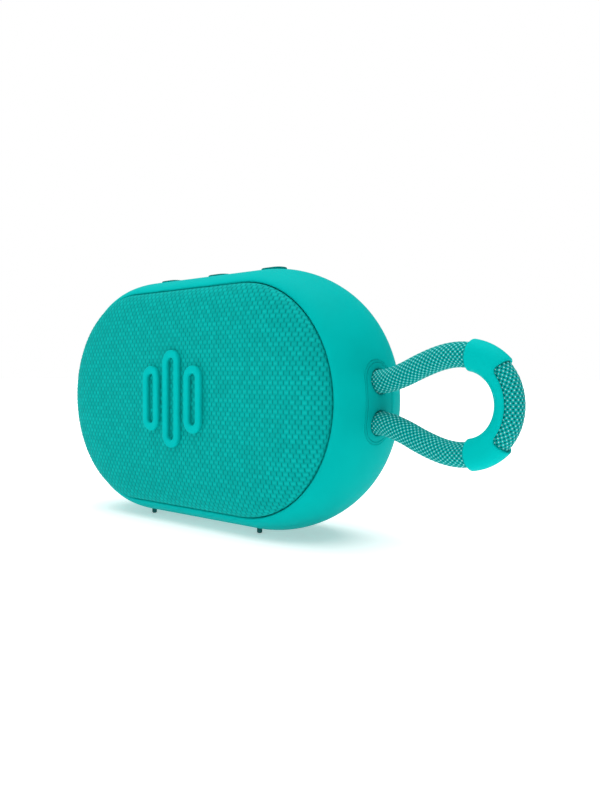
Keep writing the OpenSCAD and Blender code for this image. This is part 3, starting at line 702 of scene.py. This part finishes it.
def around(s):
    """Core point and direction at length s round the widest outline, from the left end over the top."""
    s = np.mod(s, 4 * QUARTER + 2 * STRAIGHT)
    stops = np.cumsum([0, QUARTER, STRAIGHT, 2 * QUARTER, STRAIGHT, QUARTER])
    core = np.interp(s, stops, [-END_X, -END_X, END_X, END_X, -END_X, -END_X])
    angle = np.interp(s, stops, [PI, PI / 2, PI / 2, -PI / 2, -PI / 2, -PI])
    return core, angle


def casing_point(uv):
    core, angle = around(uv[:, 0])
    r, y = section(uv[:, 1])
    return np.stack([core + r * np.cos(angle), y, r * np.sin(angle)], -1)


FAR = 99.0  # a distance that keeps a hole's field off the far side of the casing
keys = [(name, sum(s.x for s in sides("button_" + name)) / 2) for name in ("minus", "play", "plus")]


def key_hole(x):
    def field(uv):
        p = casing_point(uv)
        return np.where(p[:, 2] > 0, pill(p[:, 0] - x, p[:, 1], KEY_HALF, KEY_R + KEY_GAP), FAR)

    return field


def panel_hole(uv):
    p = casing_point(uv)
    return np.where(p[:, 0] > 0, pill(p[:, 2], p[:, 1], PILL_HALF, BEZEL_R + BEZEL_GAP), FAR)


def make_casing():
    first = QUARTER + STRAIGHT
    s = steps(
        0, (QUARTER - 8, 1.1), (QUARTER - 5, 0.4), (first + 5, 0.3), (first + 8, 0.4),
        (first + QUARTER - 12, 1.1), (first + QUARTER + 12, 0.3), (first + 2 * QUARTER, 1.1),
        (first + 2 * QUARTER + STRAIGHT, 0.9), (3 * QUARTER + first + STRAIGHT, 1.1),
    )[:-1]
    front_end, rear_end = -front_far[-1], rear_far[-1]
    w = steps(
        front_end, (front_end + 2, 0.5), (front_end + 2.9, 0.09), (front_end + 4, 0.3), (-7, 0.6),
        (7, 0.3), (rear_end - 4, 0.6), (rear_end - 2.9, 0.3), (rear_end - 2, 0.09), (rear_end, 0.5),
    )
    cuts = [(key_hole(x), 0.22, 2.2, False) for _, x in keys] + [(panel_hole, 0.15, 1.6, False)]
    return skin(
        "casing_shell", casing_point, s, w, "casing", "housing", ["body_sleeve"],
        wrap=4 * QUARTER + 2 * STRAIGHT, cuts=cuts,
    )


make_casing()

# ---------- Keys ----------

SIGN_DEPTH, SIGN_HALF, SIGN_LONG, SIGN_CORNER, SIGN_EDGE = 0.28, 0.32, 1.35, 0.15, 0.22
ARROW_BACK, ARROW_TIP = 1.1, 1.3


def key_sign(name, a, b):
    """Distance outside the sunk sign: a bar, a cross or a triangle."""
    bar = rounded_box(a, b, SIGN_LONG, SIGN_HALF, SIGN_CORNER)
    if name == "minus":
        return bar
    if name == "plus":
        return np.minimum(bar, rounded_box(a, b, SIGN_HALF, SIGN_LONG, SIGN_CORNER))
    slope = math.atan2(SIGN_LONG, ARROW_BACK + ARROW_TIP)
    return np.maximum(-a - ARROW_BACK, (a - ARROW_TIP) * math.sin(slope) + np.abs(b) * math.cos(slope))


def make_key(name, x):
    top = sides("button_" + name)[1].z

    def place(uv):
        crown = 0.012 * (uv[:, 0] ** 2 * 0.35 + uv[:, 1] ** 2)
        return np.stack([x + uv[:, 0], uv[:, 1], top - crown], -1)

    def relief(uv):
        t = np.clip(0.5 - key_sign(name, uv[:, 0], uv[:, 1]) / SIGN_EDGE, 0, 1)
        return -SIGN_DEPTH * t * t * (3 - 2 * t)

    reach = KEY_HALF + KEY_R
    skin(
        "key_" + name, place, steps(-reach, (reach, 0.1)), steps(-KEY_R, (KEY_R, 0.1)), "key_rubber",
        "key_" + name, ["button_" + name], relief=relief,
        cuts=[(lambda uv: -pill(uv[:, 0], uv[:, 1], KEY_HALF, KEY_R), 0.4, 4.5, True)],
    )


for key_name, key_x in keys:
    make_key(key_name, key_x)

# ---------- Strap panel ----------


def end_point(uv):
    """Point on the casing's right end over (z, y)."""
    y = uv[:, 1]
    r = np.interp(y, SECTION[200:-120, 1], SECTION[200:-120, 0])
    return np.stack([END_X + np.sqrt(np.maximum(r * r - uv[:, 0] ** 2, 1)), y, uv[:, 0]], -1)


def make_plate():
    reach = PILL_HALF + PLATE_R

    cuts = [(lambda uv: -pill(uv[:, 0], uv[:, 1], PILL_HALF, PLATE_R), 0.13, 2.5, False)]
    cuts += [
        (lambda uv, z=z: np.hypot(uv[:, 0] - z, uv[:, 1]) - ROPE_R - 0.12, 0.4, 3.0, False)
        for z in (-ROPE_HOLE_Z, ROPE_HOLE_Z)
    ]
    skin(
        "strap_plate_cap", end_point, steps(-reach, (reach, 0.2)), steps(-PLATE_R, (PLATE_R, 0.2)),
        "strap_trim", "housing", ["strap_plate"], cuts=cuts, outward=-1,
    )


def pill_loop(half, r, arc=48, run=24):
    """Points round a pill that is long along the first axis."""
    t = np.linspace(-PI / 2, PI / 2, arc)
    x = np.linspace(half, -half, run)[1:-1]
    end = np.stack([half + r * np.cos(t), r * np.sin(t)], -1)
    side = np.stack([x, np.full(len(x), r)], -1)
    return np.concatenate([end, side, -end, -side])


def make_bezel():
    middle, half = (BEZEL_R + BEZEL_INNER_R) / 2, (BEZEL_R - BEZEL_INNER_R) / 2
    profile = [(half * a, 0.12 * abs(a) ** 3) for a in np.linspace(-1, 1, 9)] + [(half, 1.8), (-half, 1.8)]
    rings = []
    for offset, deep in profile:
        uv = pill_loop(PILL_HALF, middle + offset)
        rings.append(end_point(uv) + deep * normals_of(end_point, uv))
    return sweep("strap_bezel_ring", rings, "strap_trim", "housing", ["strap_bezel"])


make_plate()
make_bezel()

# ---------- Woven front ----------

DOME_EDGE_R, DOME_SHOULDER, DOME_RISE, DOME_POWER = FRONT_RIM_R - 0.18, 14, 4.4, 2.2
SKIRT, HEM = 0.9, 3.2
WEAVE_HEIGHT, WEAVE_SINK = 0.11, 0.14


def dome_curve():
    t = np.linspace(PI / 2, 0, 600)
    curve = np.stack([
        DOME_EDGE_R - DOME_SHOULDER * (1 - np.cos(t) ** (2 / DOME_POWER)),
        FRONT_Y - DOME_RISE * np.sin(t) ** (2 / DOME_POWER),
    ], -1)
    skirt = np.stack([np.full(20, DOME_EDGE_R), np.linspace(FRONT_Y, FRONT_Y + SKIRT, 20)], -1)
    return np.concatenate([[[0, FRONT_Y - DOME_RISE]], curve, skirt[1:]])


DOME = dome_curve()
DOME_AT = lengths(DOME)
CLOTH_R = DOME_AT[-1]


def from_core(uv):
    """Core point, distance from it and direction, for a point of the laid-out stadium."""
    core = np.clip(uv[:, 0], -END_X, END_X)
    away = np.stack([uv[:, 0] - core, uv[:, 1]], -1)
    distance = np.linalg.norm(away, axis=1)
    return core, distance, away / np.maximum(distance, 1e-9)[:, None]


def dome_point(uv):
    core, distance, way = from_core(uv)
    r = np.interp(distance, DOME_AT, DOME[:, 0])
    y = np.interp(distance, DOME_AT, DOME[:, 1])
    return np.stack([core + way[:, 0] * r, y, way[:, 1] * r], -1)


def weave_relief(uv):
    """Height of the plain weave in millimetres; the weft stands over the warp."""
    a, b = uv[:, 0] / WARP_PITCH, uv[:, 1] / WEFT_PITCH
    row, column = np.round(b), np.round(a)
    weft = np.sqrt(np.clip(1 - ((b - row) / 0.56) ** 2, 0, 1)) + 0.45 * np.cos(PI * (a + row))
    warp = 0.8 * np.sqrt(np.clip(1 - ((a - column) / 0.5) ** 2, 0, 1)) - 0.25
    warp -= 0.45 * np.cos(PI * (b + column))
    fade = np.clip((CLOTH_R - SKIRT - from_core(uv)[1]) / 1.2, 0, 1)
    return fade * (WEAVE_HEIGHT * np.maximum(weft, warp) - WEAVE_SINK)


def make_cloth():
    reach = CLOTH_R + 0.3
    u = steps(-END_X - reach, (END_X + reach, WARP_PITCH / 4))
    v = steps(-reach, (reach, WEFT_PITCH / 4))
    return skin(
        "woven_front", dome_point, u, v, "woven_front", "housing", ["grille_fabric"],
        cuts=[(lambda uv: CLOTH_R - from_core(uv)[1], 0, 0.4, False)], relief=weave_relief,
    )


cloth = make_cloth()

# ---------- Badge: a level meter of three outlined bars ----------

BAR_W, BAR_STROKE, BAR_T, BAR_ROUND, BAR_FOOT = 6.8, 2.1, 1.2, 0.5, 0.4
BARS = ((-8.9, 18.0), (0.0, 26.5), (8.9, 18.0))


def make_bar(index, x, height):
    """One outlined bar, a closed band round a pill."""
    middle, half = (BAR_W - BAR_STROKE) / 2, BAR_STROKE / 2
    turn = np.linspace(0, PI / 2, 6)
    edge = [(half - BAR_ROUND * (1 - math.cos(t)), BAR_T - BAR_ROUND * (1 - math.sin(t))) for t in turn]
    side = [(half, -BAR_FOOT)] + edge
    profile = side + [(0, BAR_T)] + [(-a, b) for a, b in side[::-1]]
    rings = []
    for offset, rise in profile:
        loop = pill_loop((height - BAR_W) / 2, middle + offset)
        y = np.full(len(loop), FRONT_Y - DOME_RISE - rise)
        rings.append(np.stack([x + loop[:, 1], y, loop[:, 0]], -1))
    return sweep(f"badge_bar_{index}", rings, "badge", "housing", ["front_emblem"])


for bar_index, (bar_x, bar_height) in enumerate(BARS):
    make_bar(bar_index, bar_x, bar_height)

# ---------- Rear cover, its fittings and the passive radiator ----------

COVER_Y = sides("rear_cover")[1].y
COVER_FLAT_R, COVER_EDGE_R, COVER_LIP = 21, REAR_RIM_R - 0.25, 1.6
RADIATOR_HOLE_R = 16.9
SCREW_Z, SCREW_HOLE_R, SCREW_R = 24, 2.0, 1.8
LIGHT_HOLE_R, MIC_HOLE_R, SMALL_HOLE_Z = 0.95, 0.5, 9
PORT_X, PORT_HALF_X, PORT_HALF_Z, PORT_CORNER = 36, 4.7, 3.0, 0.9
# The port bay: the middle and the half sides of its outline, its floor, and the seat of the flap's barrel.
BAY_X, BAY_HALF_X, BAY_HALF_Z, BAY_CORNER, BAY_Y = 35.7, 7.9, 4.7, 0.7, 16.2
HINGE_X, HINGE_Y, SEAT_R, BARREL_R = 29.2, 16.5, 0.9, 0.8
FLAP_CORNER = 0.9
SCREWS = [(x, z) for x in (-END_X, END_X) for z in (-SCREW_Z, SCREW_Z)]


def cover_curve():
    t = np.linspace(PI / 2, 0, 200)
    curve = np.stack([
        COVER_FLAT_R + (COVER_EDGE_R - COVER_FLAT_R) * np.cos(t), REAR_Y + (COVER_Y - REAR_Y) * np.sin(t)
    ], -1)
    return np.concatenate([[[0, COVER_Y]], curve, [[COVER_EDGE_R, REAR_Y - COVER_LIP]]])


COVER = cover_curve()
COVER_AT = lengths(COVER)


def cover_point(uv):
    core, distance, way = from_core(uv)
    r = np.interp(distance, COVER_AT, COVER[:, 0])
    return np.stack([core + way[:, 0] * r, np.interp(distance, COVER_AT, COVER[:, 1]), way[:, 1] * r], -1)


def round_hole(x, z, r):
    def field(uv):
        p = cover_point(uv)
        return np.hypot(p[:, 0] - x, p[:, 2] - z) - r

    return field


def make_cover():
    reach = COVER_AT[-1] + 0.4
    u = steps(-END_X - reach, (-END_X - 4, 0.8), (-END_X + 4, 0.4), (END_X - 4, 0.6), (END_X + reach, 0.4))
    v = steps(-reach, (-20, 0.45), (-12, 0.6), (12, 0.4), (20, 0.6), (reach, 0.45))

    def bay(uv):
        return rounded_box(uv[:, 0] - BAY_X, uv[:, 1], BAY_HALF_X, BAY_HALF_Z, BAY_CORNER)

    cuts = [
        (lambda uv: COVER_AT[-1] - from_core(uv)[1], 0, 0.5, False),
        (round_hole(0, 0, RADIATOR_HOLE_R), 0.5, 1.9, False),
        (bay, 0.25, 1.25, False),
    ]
    cuts += [(round_hole(x, z, SCREW_HOLE_R), 0.2, 2.4, False) for x, z in SCREWS]
    cuts += [
        (round_hole(PORT_X, SMALL_HOLE_Z, LIGHT_HOLE_R), 0.08, 1.5, False),
        (round_hole(PORT_X, -SMALL_HOLE_Z, MIC_HOLE_R), 0.08, 1.5, False),
    ]
    skin("rear_cover_shell", cover_point, u, v, "casing", "housing", ["rear_cover"], cuts=cuts, outward=-1)


def make_bay_floor():
    """The floor under the flap: flat, with a round seat along the barrel and the hole of the socket."""
    def place(uv):
        seat = HINGE_Y - np.sqrt(np.maximum(SEAT_R**2 - (uv[:, 0] - HINGE_X) ** 2, 0))
        return np.stack([uv[:, 0], np.minimum(BAY_Y, seat), uv[:, 1]], -1)

    def outline(uv):
        return -rounded_box(uv[:, 0] - BAY_X, uv[:, 1], BAY_HALF_X + 0.1, BAY_HALF_Z + 0.1, BAY_CORNER + 0.1)

    def socket(uv):
        return rounded_box(uv[:, 0] - PORT_X, uv[:, 1], PORT_HALF_X, PORT_HALF_Z, PORT_CORNER)

    cuts = [(outline, 0, 0.6, False), (socket, 0.25, 4.2, False)]
    half_u, half_v = BAY_HALF_X + 0.5, BAY_HALF_Z + 0.5
    u, v = steps(BAY_X - half_u, (BAY_X + half_u, 0.3)), steps(-half_v, (half_v, 0.3))
    skin("port_bay_floor", place, u, v, "casing", "housing", cuts=cuts, outward=-1)


RIBS_IN, RIB_PITCH, RIB_HALF, RIB_DEPTH = 1.9, 0.75, 2.4, 0.16


def make_flap():
    high = sides("port_flap")[1]
    half_z = high.z
    middle, half_x = (HINGE_X + high.x) / 2, (high.x - HINGE_X) / 2

    def place(uv):
        return np.stack([middle + uv[:, 0], np.full(len(uv), high.y), uv[:, 1]], -1)

    def ribs(uv):
        """Three short grooves near the free end, for a fingernail."""
        x = uv[:, 0] - half_x + RIBS_IN
        groove = np.maximum(0, 1 - np.abs(x / RIB_PITCH - np.round(x / RIB_PITCH)) * 5)
        near = (np.abs(x) < 1.1) & (np.abs(uv[:, 1]) < RIB_HALF)
        return -RIB_DEPTH * groove * near

    cut = (lambda uv: -rounded_box(uv[:, 0], uv[:, 1], half_x, half_z, FLAP_CORNER), 0.3, 0.95, True)
    u, v = steps(-half_x, (half_x, 0.15)), steps(-half_z, (half_z, 0.2))
    skin("flap_cover", place, u, v, "flap_rubber", "flap", ["port_flap"], cuts=[cut], relief=ribs, outward=-1)
    plug = [(2.0, 16.4), (2.0, 14.9), (1.9, 14.65), (1.65, 14.5)]
    rings = [
        np.stack([PORT_X + loop[:, 0], np.full(len(loop), y), loop[:, 1]], -1)
        for loop, y in ((pill_loop(2.1, r), y) for r, y in plug)
    ]
    sweep("flap_plug", rings, "flap_rubber", "flap", cap=True)
    turn = np.linspace(0, 2 * PI, 40, endpoint=False)
    barrel = [(BARREL_R - 0.25, -half_z), (BARREL_R - 0.05, -half_z + 0.08), (BARREL_R, -half_z + 0.25)]
    barrel += [(r, -z) for r, z in barrel[::-1]]
    x, y = np.cos(turn), np.sin(turn)
    rings = [np.stack([HINGE_X + r * x, HINGE_Y + r * y, np.full(len(turn), z)], -1) for r, z in barrel]
    sweep("flap_barrel", rings, "flap_rubber", "flap", cap=True)


CROSS_LONG, CROSS_HALF, CROSS_CORNER, CROSS_DEPTH, CROSS_EDGE = 1.05, 0.24, 0.1, 0.55, 0.16


def make_rear_screw(index, x, z):
    """A screw's low head with a sunk cross, each turned a little further than the one before."""
    top = sides("rear_screws")[1].y

    def place(uv):
        crown = 0.06 * (uv[:, 0] ** 2 + uv[:, 1] ** 2)
        return np.stack([x + uv[:, 0], top - crown, z + uv[:, 1]], -1)

    def cross(uv):
        angle = 0.4 + index
        a = uv[:, 0] * math.cos(angle) + uv[:, 1] * math.sin(angle)
        b = uv[:, 1] * math.cos(angle) - uv[:, 0] * math.sin(angle)
        sign = np.minimum(
            rounded_box(a, b, CROSS_LONG, CROSS_HALF, CROSS_CORNER),
            rounded_box(a, b, CROSS_HALF, CROSS_LONG, CROSS_CORNER),
        )
        return -CROSS_DEPTH * np.clip(0.5 - sign / CROSS_EDGE, 0, 1)

    grid = steps(-SCREW_R, (SCREW_R, 0.07))
    cut = (lambda uv: SCREW_R - np.hypot(uv[:, 0], uv[:, 1]), 0.25, 0.9, True)
    skin(
        f"rear_screw_{index}", place, grid, grid, "steel", "housing", ["rear_screws"],
        cuts=[cut], relief=cross, outward=-1,
    )


def lathe(name, profile, slot, body, nodes=(), count=160):
    """A closed band round the Y axis from (radius, y) points."""
    rings = [
        np.stack([profile[:, 0] * math.cos(t), profile[:, 1], profile[:, 0] * math.sin(t)], -1)
        for t in np.linspace(0, 2 * PI, count, endpoint=False)
    ]
    return sweep(name, rings, slot, body, nodes)


def flexing_ring(name, profile, slot, node, fixed_r, moving_r):
    """A band round the Y axis that hides the CAD node; the share of each point between the fixed and the
    moving radius is worked out, but nothing uses it.
    """
    ring = lathe(name, np.array(profile), slot, None, [node])
    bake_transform(ring)
    place = np.array([v.co for v in ring.data.vertices]) / MM
    radius = np.hypot(place[:, 0], place[:, 2] - MID_Z / MM)
    share = np.clip((radius - fixed_r) / (moving_r - fixed_r), 0, 1)
    share = share**2 * (3 - 2 * share)


def make_surround(name, node, middle, out, thick, y, flange):
    """A half-round roll of rubber with the flange that holds its outer edge."""
    t = np.linspace(0, PI, 24)
    outer = np.stack([middle + out * np.cos(t), y - out * np.sin(t)], -1)
    inner = np.stack([middle - (out - thick) * np.cos(t), y - (out - thick) * np.sin(t)], -1)
    profile = np.concatenate([outer, inner, flange]).tolist()
    flexing_ring(name, profile, "driver_rubber", node, middle + out, middle - out)


SPIDER_R, SPIDER_PLEAT, SPIDER_PLEATS, SPIDER_Y, SPIDER_WAVE, SPIDER_T = 6.95, 0.98, 7, -2.6, 0.5, 0.4


def make_spider():
    radii = [SPIDER_R + SPIDER_PLEAT * k for k in range(SPIDER_PLEATS + 1)]
    top = [[r, SPIDER_Y + k % 2 * SPIDER_WAVE] for k, r in enumerate(radii)]
    under = [[r, y - SPIDER_T] for r, y in top[::-1]]
    flexing_ring("spider", top + under, "spider_cloth", "driver_spider", radii[-1], radii[0])


make_cover()
make_bay_floor()
make_flap()
for screw_index, (screw_x, screw_z) in enumerate(SCREWS):
    make_rear_screw(screw_index, screw_x, screw_z)
make_surround(
    "radiator_surround", "passive_surround", 14.2, 1.6, 0.45, 15.6,
    [[15.5, 16.1], [15.75, 16.2], [16.85, 16.2], [16.85, 15.6]],
)
make_surround(
    "cone_surround", "driver_surround", 18.1, 1.25, 0.4, -8.7,
    [[18.95, -8.3], [20.1, -8.3], [20.1, -8.7]],
)
make_spider()

# ---------- Floor, light and background ----------

AMBIENT, SIDE_LIGHT, FLOOR_GLOW = 0.34, 0.0, 0.38
DIM_SIDE = (0.97, 0.25, -0.1)
FLOOR_SIZE = 30


def make_floor():
    """A wide pale floor that glows a little, so that it stays as light as the background."""
    s = Shader(
        "pale_floor", Roughness=0.9, Specular_IOR_Level=0.02,
        Emission_Color=(1, 1, 1, 1), Emission_Strength=FLOOR_GLOW,
    )
    s.colour(s.mix(s.noise(40.0, s.place()), [0.86, 0.86, 0.86, 1], [0.9, 0.9, 0.9, 1]))
    bpy.ops.mesh.primitive_plane_add(size=FLOOR_SIZE)
    floor = bpy.context.object
    floor.name = "floor"
    floor.data.materials.append(s.material)
    floor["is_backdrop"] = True


def add_sun(name, direction, strength, angle):
    data = bpy.data.lights.new(name, "SUN")
    data.energy = strength
    data.angle = math.radians(angle)
    sun = bpy.data.objects.new(name, data)
    bpy.context.collection.objects.link(sun)
    sun.rotation_euler = Vector(direction).to_track_quat("Z", "Y").to_euler()


def make_world():
    """White all round for the camera; the light it gives is weaker from the strap's side."""
    world = bpy.data.worlds.new("studio")
    world.use_nodes = True
    tree = world.node_tree

    def add(kind, inputs, **settings):
        node = tree.nodes.new("ShaderNode" + kind)
        for label, value in settings.items():
            setattr(node, label, value)
        for label, value in inputs.items():
            if isinstance(value, bpy.types.NodeSocket):
                tree.links.new(value, node.inputs[label])
            else:
                node.inputs[label].default_value = value
        return node.outputs

    towards = tree.nodes.new("ShaderNodeTexCoord").outputs["Generated"]
    side = add("VectorMath", {0: towards, 1: DIM_SIDE}, operation="DOT_PRODUCT")["Value"]
    dim = add("MapRange", {"Value": side, "From Min": 0.0, "From Max": 0.9})["Result"]
    light = add("MapRange", {"Value": dim, "To Min": AMBIENT, "To Max": AMBIENT * SIDE_LIGHT})["Result"]
    ray = tree.nodes.new("ShaderNodeLightPath").outputs["Is Camera Ray"]
    strength = add("MapRange", {"Value": ray, "To Min": light, "To Max": 1.0})["Result"]
    background = tree.nodes["Background"]
    background.inputs["Color"].default_value = (1, 1, 1, 1)
    tree.links.new(strength, background.inputs["Strength"])
    bpy.context.scene.world = world


make_floor()
make_world()
add_sun("top_light", (0, 0, 1), 3.0, 75)
add_sun("front_light", (-0.9, -1, 0.2), 0.3, 100)
bpy.context.scene.view_settings.view_transform = "Standard"

sizes = {"cad": cad_box, "visual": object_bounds()}
{name: [list(corner) for corner in box] for name, box in sizes.items()}
